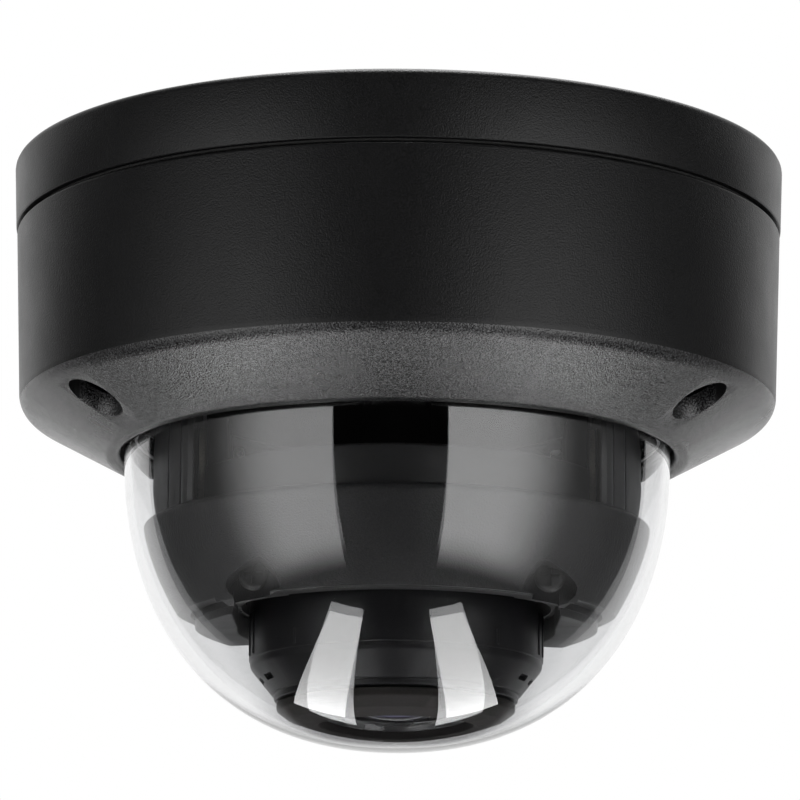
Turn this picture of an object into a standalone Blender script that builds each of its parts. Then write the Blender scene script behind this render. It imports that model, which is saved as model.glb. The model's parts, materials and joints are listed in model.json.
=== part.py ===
"""Vandal-resistant dome camera that hangs from a ceiling, built from its separate pieces.

The origin is the centre of the face against the ceiling, +Z points up, the dome hangs towards -Z and the
front is towards -Y. Sizes below are in millimetres and are turned into metres when meshes are made.
"""

import math

import bmesh
import bpy
from mathutils import Matrix, Vector

MM = 0.001

# Driving dimensions
HOUSING_R = 60.7          # base ring, so the camera is 121.4 across
TOTAL_HEIGHT = 92.2       # ceiling face to the dome's lowest point
PLATE = 3.2               # thickness of the base plate
SEAM_Z = -10.5            # lower edge of the base ring
COVER_TOP_Z = -11.1       # upper edge of the cover
COVER_LOW_Z = -36.6       # where the cover's side turns into its cone
COVER_TOP_R = 60.25
COVER_LOW_R = 59.2
CONE_ANGLE = math.radians(30.4)
CONE_R = 55.8
CONE_Z = -40.6            # a point on the cone, at CONE_R
WALL = 2.6                # cover wall
OPENING_R = 43.45         # the hole that the dome shows through
DOME_R = 42.8
DOME_TOP_Z = -45.1        # where the dome leaves its straight skirt
DOME_POWER = 2.28         # fullness of the dome's curve, 2 is an ellipse
DOME_WALL = 2.0
TILT_Z = -50.0            # height of the tilt axis, the centre of the inner sphere
BOWL_R = 39.8             # all that tilts stays within this sphere
ARM_R = 38.1              # outer surface of the pan chassis's arms
ARM_X = 31.0              # inner face of the arms
TURRET_R = 23.5
SCREW_RING_R = 53.0       # circle that the cover screws stand on
GAP = 0.3                 # clearance between touching pieces

SIDES = 40                # sides of the housing's round pieces
INNER = 30                # sides of the round pieces inside it
SMALL = 12                # sides of small round pieces

scene = bpy.context.scene
for old in list(scene.objects):
    bpy.data.objects.remove(old)


def collection(name):
    made = bpy.data.collections.new(name)
    scene.collection.children.link(made)
    return made


parts = collection("dome_camera")
cutters = collection("cutters")
materials = {}


def material(name, colour, roughness, metallic=0.0, transmission=0.0):
    made = bpy.data.materials.new(name)
    made.use_nodes = True
    shader = made.node_tree.nodes["Principled BSDF"]
    shader.inputs["Base Color"].default_value = (*colour, 1.0)
    shader.inputs["Roughness"].default_value = roughness
    shader.inputs["Metallic"].default_value = metallic
    shader.inputs["Transmission Weight"].default_value = transmission
    materials[name] = made


def finished(obj, finish):
    """Puts a piece in the object's collection, with its material."""
    scene.collection.objects.unlink(obj)
    parts.objects.link(obj)
    obj.data.materials.append(materials[finish])
    return obj


def placed(name, mesh_build, axis="Z", at=(0, 0, 0)):
    """A new mesh object whose local Z lies along axis, at a place in millimetres."""
    mesh = bpy.data.meshes.new(name)
    bm = bmesh.new()
    mesh_build(bm)
    bm.to_mesh(mesh)
    bm.free()
    obj = bpy.data.objects.new(name, mesh)
    scene.collection.objects.link(obj)
    direction = {"X": (1, 0, 0), "-X": (-1, 0, 0), "Y": (0, 1, 0), "Z": (0, 0, 1)}[axis]
    turn = Vector((0, 0, 1)).rotation_difference(Vector(direction)).to_matrix().to_4x4()
    obj.matrix_world = Matrix.Translation(Vector(at) * MM) @ turn
    return obj


def turned(name, profile, closed=True, sides=SIDES, axis="Z", at=(0, 0, 0)):
    """A turned piece from (radius, height) points that run down its outer side."""

    def build(bm):
        points = [bm.verts.new((radius * MM, 0, height * MM)) for radius, height in profile]
        for first, second in zip(points, points[1:]):
            bm.edges.new((first, second))
        if closed:
            bm.edges.new((points[-1], points[0]))

    obj = placed(name, build, axis, at)
    screw = obj.modifiers.new("Turn", "SCREW")
    screw.steps = sides
    screw.render_steps = sides
    screw.use_merge_vertices = True
    screw.merge_threshold = 0.000001
    screw.use_smooth_shade = True
    return obj


def rod(name, radius, start, end, at=(0, 0), axis="Z", sides=SMALL):
    """A plain cylinder between two heights along its axis."""

    def build(bm):
        middle = Matrix.Translation((0, 0, (start + end) / 2 * MM))
        bmesh.ops.create_cone(bm, cap_ends=True, segments=sides, radius1=radius * MM, radius2=radius * MM,
                              depth=abs(end - start) * MM, matrix=middle)

    place = {"Z": (at[0], at[1], 0), "X": (0, at[0], at[1]), "Y": (at[0], 0, at[1])}[axis]
    return placed(name, build, axis, place)


def box(name, low, high, turn=0.0):
    """A box between two corners, turned about Z through the origin."""
    size = [(b - a) * MM for a, b in zip(low, high)]
    middle = [(a + b) / 2 * MM for a, b in zip(low, high)]

    def build(bm):
        shape = Matrix.Translation(middle) @ Matrix.Diagonal((*size, 1))
        bmesh.ops.create_cube(bm, size=1, matrix=Matrix.Rotation(turn, 4, "Z") @ shape)

    return placed(name, build)


def combine(target, other, operation):
    """A Boolean with a second shape, which then becomes a hidden guide."""
    boolean = target.modifiers.new(operation.title(), "BOOLEAN")
    boolean.operation = operation
    boolean.object = other
    boolean.solver = "EXACT"
    if other.name not in cutters.objects:
        scene.collection.objects.unlink(other)
        cutters.objects.link(other)
    other.hide_render = True
    other.display_type = "WIRE"


def cut(target, *others):
    for other in others:
        combine(target, other, "DIFFERENCE")


def join(target, *others):
    for other in others:
        combine(target, other, "UNION")


def arc(radius, start, end, count, centre=(0, 0)):
    """Points on an arc, in degrees from the +radius direction."""
    angles = [math.radians(start + (end - start) * i / count) for i in range(count + 1)]
    return [(centre[0] + radius * math.cos(a), centre[1] + radius * math.sin(a)) for a in angles]


def around(radius, degrees):
    """A place on a circle about Z, in degrees from +X."""
    angle = math.radians(degrees)
    return radius * math.cos(angle), radius * math.sin(angle)


def cone_z(radius):
    """Height of the cover's outer cone at a radius."""
    return CONE_Z - (CONE_R - radius) * math.tan(CONE_ANGLE)


def pivot(name, z):
    """An empty on a joint's axis, which the pieces of that body hang on."""
    empty = bpy.data.objects.new(name, None)
    empty.location = (0, 0, z * MM)
    parts.objects.link(empty)
    return empty


def hang(empty, *pieces):
    for piece in pieces:
        piece.parent = empty
        piece.matrix_parent_inverse = Matrix.Translation(empty.location).inverted()


material("housing_black", (0.016, 0.016, 0.017), 0.45)
material("black_plastic", (0.02, 0.02, 0.021), 0.5)
material("black_rubber", (0.03, 0.028, 0.027), 0.8)
material("clear_polycarbonate", (0.9, 0.92, 0.93), 0.02, transmission=1.0)
material("steel", (0.55, 0.55, 0.56), 0.3, metallic=1.0)
material("black_steel", (0.05, 0.05, 0.05), 0.35, metallic=1.0)
material("circuit_board", (0.02, 0.12, 0.05), 0.4)
material("ivory_plastic", (0.75, 0.72, 0.62), 0.5)
material("lens_glass", (0.05, 0.05, 0.08), 0.02, transmission=0.8)

COVER_SCREWS = {"left": 210, "right": 330, "back": 90}
CLAMP_SCREWS = {"front": 270, "right": 30, "left": 150}
BOARD_SCREWS = {"left": 180, "front": 270, "right": 0}
PAN_SCREWS = {"left": 180, "right": 0}

# Base: plate, rim and the posts that take the cover screws
POST_LOW_Z = -27.6
SPIGOT_R = 57.2
BOARD_TOP_Z = -7.0
BOARD_LOW_Z = -8.6
CABLE_HOLE = around(42.8, 57.5)
base = finished(turned("mounting_base", [
    (0, 0), (HOUSING_R - 1.0, 0), (HOUSING_R, -1.0), (HOUSING_R - 0.35, SEAM_Z),
    (59.3, SEAM_Z), (59.3, SEAM_Z + 0.9), (57.8, SEAM_Z + 0.9), (57.8, SEAM_Z),
    (SPIGOT_R, SEAM_Z), (SPIGOT_R, -14.0), (55.4, -14.0), (55.4, -PLATE), (0, -PLATE),
], closed=False), "housing_black")
for side, angle in COVER_SCREWS.items():
    place = around(SCREW_RING_R, angle)
    join(base, rod(f"screw_post_{side}", 3.6, POST_LOW_Z, -2.0, place))
    cut(base, rod(f"screw_post_hole_{side}", 2.25, POST_LOW_Z - 1, -15.0, place))
for side, angle in BOARD_SCREWS.items():
    place = around(44.5, angle)
    join(base, rod(f"board_post_{side}", 2.8, BOARD_TOP_Z + GAP, -2.0, place))
    cut(base, rod(f"board_post_hole_{side}", 1.4, BOARD_TOP_Z, -4.0, place))
for index, angle in enumerate((285, 45, 165)):
    cut(base, rod(f"ceiling_screw_hole_{index}", 2.2, -PLATE - 1, 1, around(51.0, angle)))
cut(base, rod("cable_hole", 8.5, -PLATE - 1, 1, CABLE_HOLE, sides=20))
SIDE_EXIT = math.radians(135)
cut(base, box("side_exit_cut", (54.0, -6.0, -8.6), (62.0, 6.0, -3.8), SIDE_EXIT))

side_plug = finished(box("side_exit_plug", (55.8, -5.7, -8.3), (60.0, 5.7, -4.1), SIDE_EXIT), "black_plastic")
bevel = side_plug.modifiers.new("Bevel", "BEVEL")
bevel.width = 0.4 * MM
bevel.segments = 1

finished(turned("cable_grommet", [
    (8.2, -0.4), (8.2, -3.5), (9.8, -3.5), (9.8, -5.2), (3.4, -5.2), (3.4, -0.4),
], sides=20, at=(*CABLE_HOLE, 0)), "black_rubber")

# Pan bearing under the base plate
finished(turned("pan_bearing_ring", [(27.0, -3.5), (27.0, -6.2), (20.0, -6.2), (20.0, -3.5)], sides=INNER), "ivory_plastic")
retainer = finished(turned("pan_retaining_ring", [
    (32.6, -3.5), (32.6, -10.6), (27.5, -10.6), (27.5, -9.8), (30.0, -9.8), (30.0, -3.5),
], sides=INNER), "black_plastic")

# Main board and what is on it
board = finished(turned("main_board", [
    (47.9, BOARD_TOP_Z), (47.9, BOARD_LOW_Z), (34.6, BOARD_LOW_Z), (34.6, BOARD_TOP_Z),
]), "circuit_board")
cut(board, box("board_end", (-60, 4.0, -12), (60, 60, -2)))
UNDER_BOARD = BOARD_LOW_Z - GAP
for side, angle in BOARD_SCREWS.items():
    place = around(44.5, angle)
    cut(board, rod(f"board_hole_{side}", 1.5, -12, -2, place))
    finished(turned(f"board_screw_{side}", [
        (0, -4.6), (1.1, -4.6), (1.1, UNDER_BOARD), (2.2, UNDER_BOARD), (1.9, UNDER_BOARD - 1.4), (0, UNDER_BOARD - 1.4),
    ], closed=False, sides=SMALL, at=(*place, 0)), "steel")
finished(box("processor", (36.0, -6.0, UNDER_BOARD - 1.6), (46.6, 6.0, UNDER_BOARD), math.radians(240)), "black_plastic")
slot = finished(box("memory_card_slot", (35.4, -6.6, UNDER_BOARD - 1.9), (47.0, 6.6, UNDER_BOARD),
                    math.radians(212)), "steel")
cut(slot, box("card_mouth", (36.6, -5.6, UNDER_BOARD - 1.4), (48.0, 5.6, UNDER_BOARD - 0.5), math.radians(212)))
header = finished(box("cable_connector", (38.0, -5.0, UNDER_BOARD - 4.6), (43.5, 5.0, UNDER_BOARD),
                      math.radians(302)), "ivory_plastic")
cut(header, box("connector_mouth", (38.8, -4.2, -20), (42.7, 4.2, UNDER_BOARD - 1.2), math.radians(302)))
RESET = around(41.2, 335)
reset_switch = finished(box("reset_switch", (38.4, -2.8, UNDER_BOARD - 3.2), (44.0, 2.8, UNDER_BOARD),
                            math.radians(335)), "black_plastic")
cut(reset_switch, rod("plunger_hole", 1.6, UNDER_BOARD - 4, UNDER_BOARD - 1.0, RESET))
reset_travel = pivot("reset_travel", UNDER_BOARD - 1.9)
hang(reset_travel, finished(rod("reset_button", 1.25, UNDER_BOARD - 4.6, UNDER_BOARD - 1.9, RESET), "ivory_plastic"))

finished(turned("cover_gasket", [
    (59.1, SEAM_Z + 0.6), (59.1, SEAM_Z - 0.3), (58.0, SEAM_Z - 0.3), (58.0, SEAM_Z + 0.6),
]), "black_rubber")

# Cover: tapered wall, cone and the seat of the dome
SEAT_Z = -44.4
SEAT_R = 46.2
INNER_RISE = WALL / math.cos(CONE_ANGLE)
cover = finished(turned("cover_shell", [
    (COVER_TOP_R - 0.4, COVER_TOP_Z), (COVER_TOP_R, COVER_TOP_Z - 0.4), (COVER_LOW_R, COVER_LOW_Z),
    (COVER_LOW_R - 0.35, COVER_LOW_Z - 1.2), (COVER_LOW_R - 1.2, cone_z(COVER_LOW_R - 1.2)),
    (46.2, cone_z(46.2)), (45.0, -46.8), (44.1, -47.0), (OPENING_R, -46.4),
    (OPENING_R, SEAT_Z), (SEAT_R, SEAT_Z), (SEAT_R, cone_z(SEAT_R) + INNER_RISE),
    (COVER_LOW_R - WALL, cone_z(COVER_LOW_R - WALL) + INNER_RISE), (COVER_TOP_R - WALL, COVER_TOP_Z),
]), "housing_black")
HEAD_SEAT_Z = -33.3
HEAD_Z = -36.6
for side, angle in COVER_SCREWS.items():
    place = around(SCREW_RING_R, angle)
    join(cover, rod(f"cover_post_{side}", 5.6, -38.8, POST_LOW_Z - 0.4, place, sides=20))
for side, angle in COVER_SCREWS.items():
    place = around(SCREW_RING_R, angle)
    cut(cover, rod(f"counterbore_{side}", 4.15, -50, HEAD_SEAT_Z, place, sides=20),
        rod(f"screw_way_{side}", 2.3, -36, -20, place))
CLAMP_TOP_Z = -36.9
for side, angle in CLAMP_SCREWS.items():
    place = around(49.6, angle)
    join(cover, rod(f"clamp_boss_{side}", 2.3, -42.4, CLAMP_TOP_Z - 1.8, place))
    cut(cover, rod(f"clamp_boss_hole_{side}", 1.4, -41.4, -34, place))
cover_travel = pivot("cover_travel", 0)
hang(cover_travel, cover)

# Dome with its flange, seal and clamp
DOME_HEIGHT = TOTAL_HEIGHT + DOME_TOP_Z


def dome_curve(radius, height, count=9):
    """From the skirt down to the pole, a little fuller than an ellipse."""
    power = 2 / DOME_POWER
    points = []
    for i in range(count + 1):
        angle = math.pi / 2 * i / count
        r = radius * max(math.cos(angle), 0.0) ** power if i < count else 0.0
        points.append((r, DOME_TOP_Z - height * math.sin(angle) ** power))
    return points


inner_dome = dome_curve(DOME_R - DOME_WALL, DOME_HEIGHT - DOME_WALL)
dome = finished(turned("dome_bubble", [
    *reversed(inner_dome), (DOME_R - DOME_WALL, -41.4), (45.9, -41.4), (45.9, -43.1), (DOME_R, -43.1),
    *dome_curve(DOME_R, DOME_HEIGHT),
], closed=False), "clear_polycarbonate")
dome_gasket = finished(turned("dome_gasket", [(45.9, -43.4), (45.9, -44.1), (43.75, -44.1), (43.75, -43.4)]),
                       "black_rubber")
clamp = finished(turned("dome_clamp_ring", [
    (47.0, CLAMP_TOP_Z), (47.0, -41.1), (42.9, -41.1), (42.9, CLAMP_TOP_Z),
]), "black_plastic")
hang(cover_travel, dome, dome_gasket, clamp)
for side, angle in CLAMP_SCREWS.items():
    place = around(49.6, angle)
    join(clamp, rod(f"clamp_ear_{side}", 3.4, CLAMP_TOP_Z - 1.5, CLAMP_TOP_Z, place))
    cut(clamp, rod(f"clamp_ear_hole_{side}", 1.5, -40, -34, place))
    hang(cover_travel, finished(turned(f"clamp_screw_{side}", [
        (0, CLAMP_TOP_Z + 2.0), (2.3, CLAMP_TOP_Z + 1.8), (2.5, CLAMP_TOP_Z + GAP), (1.1, CLAMP_TOP_Z + GAP),
        (1.1, -41.0), (0, -41.0),
    ], closed=False, sides=SMALL, at=(*place, 0)), "steel"))

# Captive cover screws, each turning on its own axis
for side, angle in COVER_SCREWS.items():
    place = around(SCREW_RING_R, angle)
    screw = finished(turned(f"cover_screw_{side}", [
        (0, -17.5), (1.5, -17.5), (1.9, -18.2), (1.9, HEAD_SEAT_Z - GAP), (3.6, HEAD_SEAT_Z - GAP),
        (3.6, HEAD_Z + 0.6), (3.0, HEAD_Z), (0, HEAD_Z),
    ], closed=False, sides=20, at=(*place, 0)), "black_steel")
    cut(screw, rod(f"drive_socket_{side}", 1.55, HEAD_Z - 1, HEAD_Z + 1.9, place, sides=6))
    hang(cover_travel, screw)

# Pan chassis: disc, hub, and a yoke inside the inner sphere that carries the tilt axis
SPHERE = (0, TILT_Z)
chassis = finished(turned("pan_chassis", [
    (0, -6.5), (29.6, -6.5), (29.6, -9.5), (14.0, -9.5), (14.0, -14.6), (0, -14.6),
], closed=False, sides=INNER), "black_plastic")
YOKE_HALF = 9.5
yoke = turned("yoke_band", [
    (ARM_R - 0.4, YOKE_HALF), (ARM_R - 0.4, -YOKE_HALF), (34.5, -YOKE_HALF), (34.5, YOKE_HALF),
], axis="Y", at=(0, 0, TILT_Z))
combine(yoke, box("upper_half", (-45, -20, -36), (45, 20, 0)), "INTERSECT")
join(chassis, yoke)
PIN_R = 3.05
BORE_R = 3.4
rim_angle = math.degrees(math.asin(ARM_X / ARM_R))
pole_angle = math.degrees(math.acos(BORE_R / ARM_R))
for side, axis in (("left", "-X"), ("right", "X")):
    join(chassis, turned(f"arm_{side}", [
        *arc(ARM_R, pole_angle, rim_angle, 5), (18.2, ARM_X), *arc(35.9, 59.6, 77.5, 2), (7.6, ARM_X), (BORE_R, ARM_X),
    ], sides=24, axis=axis, at=(0, 0, TILT_Z)))
cut(chassis, rod("wire_way", 7.5, -20, 0, sides=20))
pan_axis = pivot("pan_axis", -8.0)
hang(pan_axis, chassis)

# Tilt body: frame, pins, washers and the bowl round the lens turret
FRAME_X = 29.4
frame = finished(turned("tilt_frame", [
    (32.5, TILT_Z - 0.6), (32.5, -59.0), (24.4, -59.0), (24.4, -57.0), (28.0, -57.0), (28.0, TILT_Z - 0.6),
], sides=INNER), "black_plastic")
combine(frame, box("between_the_arms", (-FRAME_X, -40, -70), (FRAME_X, 40, -30)), "INTERSECT")
for sign in (-1, 1):
    inside, outside = sorted((sign * 26.2, sign * FRAME_X))
    join(frame, box("frame_ear", (inside, -8.0, -58.0), (outside, 8.0, TILT_Z + 7.5)))
cut(frame, rod("pin_way", 3.35, -40, 40, (0, TILT_Z), axis="X", sides=20))
tilt_axis = pivot("tilt_axis", TILT_Z)
hang(tilt_axis, frame)
for side, axis in (("left", "-X"), ("right", "X")):
    pin = turned(f"pivot_pin_{side}", [
        (0, 37.0), (1.8, 37.0), (PIN_R - 0.5, 36.9), (PIN_R, 36.3), (PIN_R, 25.6), (4.8, 25.6), (4.8, 24.0), (0, 24.0),
    ], closed=False, sides=20, axis=axis, at=(0, 0, TILT_Z))
    washer = turned(f"friction_washer_{side}", [(7.4, 30.7), (7.4, 29.7), (3.4, 29.7), (3.4, 30.7)],
                    sides=20, axis=axis, at=(0, 0, TILT_Z))
    hang(tilt_axis, finished(pin, "steel"), finished(washer, "ivory_plastic"))

BOWL_LOW_Z = -73.3
bowl = finished(turned("tilt_bowl", [
    (38.0, -57.3), (38.7, -57.6),
    *arc(BOWL_R, -12.5, -34.5, 4, SPHERE), (31.6, BOWL_LOW_Z), (24.4, BOWL_LOW_Z), (24.4, -71.3), (30.4, -71.3),
    *arc(37.6, -33.0, -17.5, 3, SPHERE), (31.0, -61.3), (31.0, -59.4), (37.0, -59.4), (37.2, -57.6),
], sides=INNER), "black_plastic")
for side, axis in (("left", "-X"), ("right", "X")):
    cut(bowl, turned(f"arm_clearance_{side}", [
        (0, 38.7), *arc(38.7, 80, 52.3, 3), (0, 30.6),
    ], closed=False, sides=24, axis=axis, at=(0, 0, TILT_Z)))
hang(tilt_axis, bowl)
SLEEVE_R = 28.3
sleeve = finished(turned("turret_sleeve", [
    (SLEEVE_R, -59.3), (SLEEVE_R, -70.8), (24.0, -70.8), (24.0, -63.9), (25.4, -63.9), (25.4, -59.3),
], sides=INNER), "black_plastic")
hang(tilt_axis, sleeve)
BOSS_X, BOSS_Z = 22.8, -69.0
inside_bowl = turned("inside_bowl", [
    (0, TILT_Z + 39.2), *arc(39.2, 75, -75, 10, SPHERE), (0, TILT_Z - 39.2),
], closed=False, sides=INNER)
around_sleeve = rod("around_sleeve", SLEEVE_R + 0.35, -80, -55, sides=INNER)
for side, sign in (("left", -1), ("right", 1)):
    place = (sign * BOSS_X, BOSS_Z)
    boss = rod(f"bowl_boss_{side}", 3.3, -26.5, -15.0, place, axis="Y")
    combine(boss, inside_bowl, "INTERSECT")
    cut(boss, around_sleeve)
    join(bowl, boss)
for side, sign in (("left", -1), ("right", 1)):
    place = (sign * BOSS_X, BOSS_Z)
    cut(bowl, rod(f"bowl_pocket_{side}", 2.7, -40, -21.4, place, axis="Y"),
        rod(f"bowl_boss_hole_{side}", 1.4, -24, -12, place, axis="Y"))
    cut(sleeve, rod(f"sleeve_hole_{side}", 1.4, -19, -14.0, place, axis="Y"))
    bowl_screw = turned(f"bowl_screw_{side}", [
        (0, -14.6), (1.1, -14.6), (1.1, -21.7), (2.3, -21.7), (2.0, -23.3), (0, -23.3),
    ], closed=False, sides=SMALL, axis="Y", at=(place[0], 0, place[1]))
    hang(tilt_axis, finished(bowl_screw, "black_steel"))

# Lens turret, which turns about the lens axis
turret = finished(turned("turret_housing", [
    (25.1, -62.0), (25.1, -63.5), (TURRET_R, -63.5), (TURRET_R, -79.9), (18.9, -84.4), (15.2, -84.4),
    (15.2, -82.4), (17.5, -82.4), (21.3, -78.6), (21.3, -62.0),
], sides=INNER), "black_plastic")
shield = finished(turned("lens_shield", [
    (14.8, -81.6), (14.8, -84.7), (18.4, -84.7), (18.1, -85.3), (15.5, -86.5), (12.4, -87.7), (12.0, -87.3), (12.0, -81.6),
], sides=INNER), "black_rubber")
cap = finished(turned("turret_cap", [(21.0, -62.2), (21.0, -63.7), (4.0, -63.7), (4.0, -62.2)], sides=INNER),
               "black_plastic")
sensor_board = finished(rod("sensor_board", 20.0, -67.4, -66.0, sides=INNER), "circuit_board")
sensor = finished(box("image_sensor", (-4.2, -3.4, -68.9), (4.2, 3.4, -67.7)), "lens_glass")
holder = finished(turned("lens_holder", [(10.5, -67.7), (10.5, -76.0), (7.3, -76.0), (7.3, -67.7)], sides=20),
                  "black_plastic")
ir_filter = finished(rod("infrared_filter", 6.9, -70.9, -70.1, sides=20), "lens_glass")
switcher = finished(box("filter_switcher", (10.9, -5.0, -73.0), (16.8, 5.0, -67.7)), "black_plastic")
barrel = finished(turned("lens_barrel", [
    (6.9, -71.3), (6.9, -76.3), (9.6, -76.3), (9.6, -82.6), (11.6, -82.6), (11.6, -86.4), (9.3, -86.4),
    (9.3, -84.2), (4.1, -84.2), (4.1, -71.3),
], sides=INNER), "black_plastic")
front_lens = finished(turned("front_lens", [
    (0, -84.5), (8.9, -84.5), (8.9, -84.9), *arc(16.2, -59.5, -80, 4, (0, -71.0)), (0, -87.2),
], closed=False, sides=INNER), "lens_glass")
rear_lens = finished(rod("rear_lens", 3.7, -74.5, -72.5, sides=20), "lens_glass")
rotate_axis = pivot("rotate_axis", -70.0)
hang(rotate_axis, turret, shield, cap, sensor_board, sensor, holder, ir_filter, switcher, barrel, front_lens, rear_lens)

# Screws of the pan retaining ring
for side, angle in PAN_SCREWS.items():
    place = around(31.3, angle)
    cut(retainer, rod(f"ring_screw_way_{side}", 0.8, -12, -2, place))
    finished(turned(f"pan_ring_screw_{side}", [
        (0, -3.6), (0.5, -3.6), (0.5, -10.9), (1.4, -10.9), (1.2, -11.6), (0, -11.6),
    ], closed=False, sides=12, at=(*place, 0)), "steel")
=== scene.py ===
"""The looks of the dome camera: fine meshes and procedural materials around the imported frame."""

import json
import math

import bmesh
import bpy
from mathutils import Matrix, Vector


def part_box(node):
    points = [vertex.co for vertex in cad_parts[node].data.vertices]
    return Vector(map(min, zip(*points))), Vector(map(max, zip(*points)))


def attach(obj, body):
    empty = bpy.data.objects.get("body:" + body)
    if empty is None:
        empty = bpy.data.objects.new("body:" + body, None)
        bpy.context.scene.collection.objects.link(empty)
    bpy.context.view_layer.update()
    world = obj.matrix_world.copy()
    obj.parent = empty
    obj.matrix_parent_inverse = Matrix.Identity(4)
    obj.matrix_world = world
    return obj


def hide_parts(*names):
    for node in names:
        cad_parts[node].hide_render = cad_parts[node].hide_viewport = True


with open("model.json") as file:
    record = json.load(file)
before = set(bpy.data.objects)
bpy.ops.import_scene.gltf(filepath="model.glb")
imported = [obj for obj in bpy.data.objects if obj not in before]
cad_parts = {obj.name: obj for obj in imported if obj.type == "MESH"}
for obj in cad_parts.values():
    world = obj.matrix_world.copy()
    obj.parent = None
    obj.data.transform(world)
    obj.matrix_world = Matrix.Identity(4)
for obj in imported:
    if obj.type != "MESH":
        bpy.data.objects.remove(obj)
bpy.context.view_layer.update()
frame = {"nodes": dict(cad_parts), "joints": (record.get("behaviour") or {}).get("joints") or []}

MM = 0.001
scene = bpy.context.scene
nodes = frame["nodes"]
joints = {joint["name"]: joint for joint in frame["joints"]}


# Sizes in millimetres that the frame gives
def span(node):
    """A node's lowest and highest corners."""
    low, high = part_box(node)
    return [v / MM for v in low], [v / MM for v in high]


def centre(node):
    """The middle of a node's box, seen from above."""
    low, high = span(node)
    return (low[0] + high[0]) / 2, (low[1] + high[1]) / 2


HOUSING_R = span("mounting_base")[1][0]
COVER_TOP = span("cover_shell")[1][2]
COVER_R = span("cover_shell")[1][0]
DOME_LOW = span("dome_bubble")[0][2]
TILT_Z = joints["lens_tilt"]["pos_m"][2] / MM
BOWL_LOW, BOWL_HIGH = span("tilt_bowl")[0][2], span("tilt_bowl")[1][2]
SPHERE = (0, TILT_Z)
SCREW_PLACES = {}
for side in ("left", "right", "back"):
    x, y, _ = joints[f"cover_screw_{side}_turn"]["pos_m"]
    SCREW_PLACES[side] = (x / MM, y / MM)
CLAMP_PLACES = {side: centre(f"clamp_screw_{side}") for side in ("front", "right", "left")}

# Sizes in millimetres chosen to fit the photo
BOWL_R = 40.3
ARM_R = 38.1
ARM_X = 31.0
DOME_R = 42.8
DOME_SKIRT = TILT_Z + 4.9
DOME_POWER = 2.28
DOME_WALL = 1.2
INNER_POWER = 2.15
OPENING_R = 43.45
TURRET_R = 22.8
SHOULDER_R = 18.9
COUNTERBORE_R = 4.15
CONE_SLOPE = math.tan(math.radians(30.4))
CONE_R, CONE_Z = 55.8, -40.6

# How finely turned pieces are cut: the housing, most pieces, and small ones
HOUSING_SEGMENTS = 256
SEGMENTS = 160
FINE = 48


# Materials
def surface(name, colour, rough, grain=0.3, depth=0.02, speck=0.25, spread=0.1, wear_and_highlight=0.3, worn_and_highlit_colour=None,
            metallic=0.0, coat=0.0, specular=0.5, detail=1.5):
    """A moulded or coated finish: fine grain, uneven gloss, colour flecks, and sharp edges lightened partly
    as slight scuffing and partly as a painted highlight.
    """
    made = bpy.data.materials.new(name)
    made.use_nodes = True
    tree = made.node_tree
    shader = tree.nodes["Principled BSDF"]
    shader.inputs["Metallic"].default_value = metallic
    shader.inputs["Coat Weight"].default_value = coat
    shader.inputs["Specular IOR Level"].default_value = specular
    link = tree.links.new
    place = tree.nodes.new("ShaderNodeTexCoord")

    def noise(size, detail):
        node = tree.nodes.new("ShaderNodeTexNoise")
        node.inputs["Scale"].default_value = 1 / (size * MM)
        node.inputs["Detail"].default_value = detail
        link(place.outputs["Object"], node.inputs["Vector"])
        return node.outputs["Fac"]

    def mapped(value, low, high, to_low, to_high):
        node = tree.nodes.new("ShaderNodeMapRange")
        for socket, number in zip(("From Min", "From Max", "To Min", "To Max"), (low, high, to_low, to_high)):
            node.inputs[socket].default_value = number
        link(value, node.inputs["Value"])
        return node.outputs["Result"]

    def mixed(factor, first, second):
        node = tree.nodes.new("ShaderNodeMix")
        node.data_type = "RGBA"
        link(factor, node.inputs["Factor"])
        for socket, value in ((node.inputs["A"], first), (node.inputs["B"], second)):
            if isinstance(value, tuple):
                socket.default_value = (*value, 1.0)
            else:
                link(value, socket)
        return node.outputs["Result"]

    fine = noise(grain, detail)
    broad = noise(grain * 30, 4.0)
    pale = tuple(min(1.0, c * (1 + 2.5 * speck)) for c in colour)
    dark = tuple(c * (1 - speck) for c in colour)
    flecked = mixed(mapped(fine, 0.35, 0.65, 0.0, 1.0), dark, pale)
    # Sharp edges are lightened by pointiness: partly scuffing of the finish, partly a painted highlight along
    # rims.
    edge = tree.nodes.new("ShaderNodeNewGeometry").outputs["Pointiness"]
    worn_and_highlit_edge = tuple(min(1.0, c * 2.2 + 0.02) for c in colour) if worn_and_highlit_colour is None else worn_and_highlit_colour
    link(mixed(mapped(edge, 0.53, 0.62, 0.0, wear_and_highlight), flecked, worn_and_highlit_edge), shader.inputs["Base Color"])
    link(mapped(broad, 0.3, 0.7, rough - spread / 2, rough + spread / 2), shader.inputs["Roughness"])
    bump = tree.nodes.new("ShaderNodeBump")
    bump.inputs["Strength"].default_value = 1.0
    bump.inputs["Distance"].default_value = depth * MM
    link(fine, bump.inputs["Height"])
    link(bump.outputs["Normal"], shader.inputs["Normal"])
    return made


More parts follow.
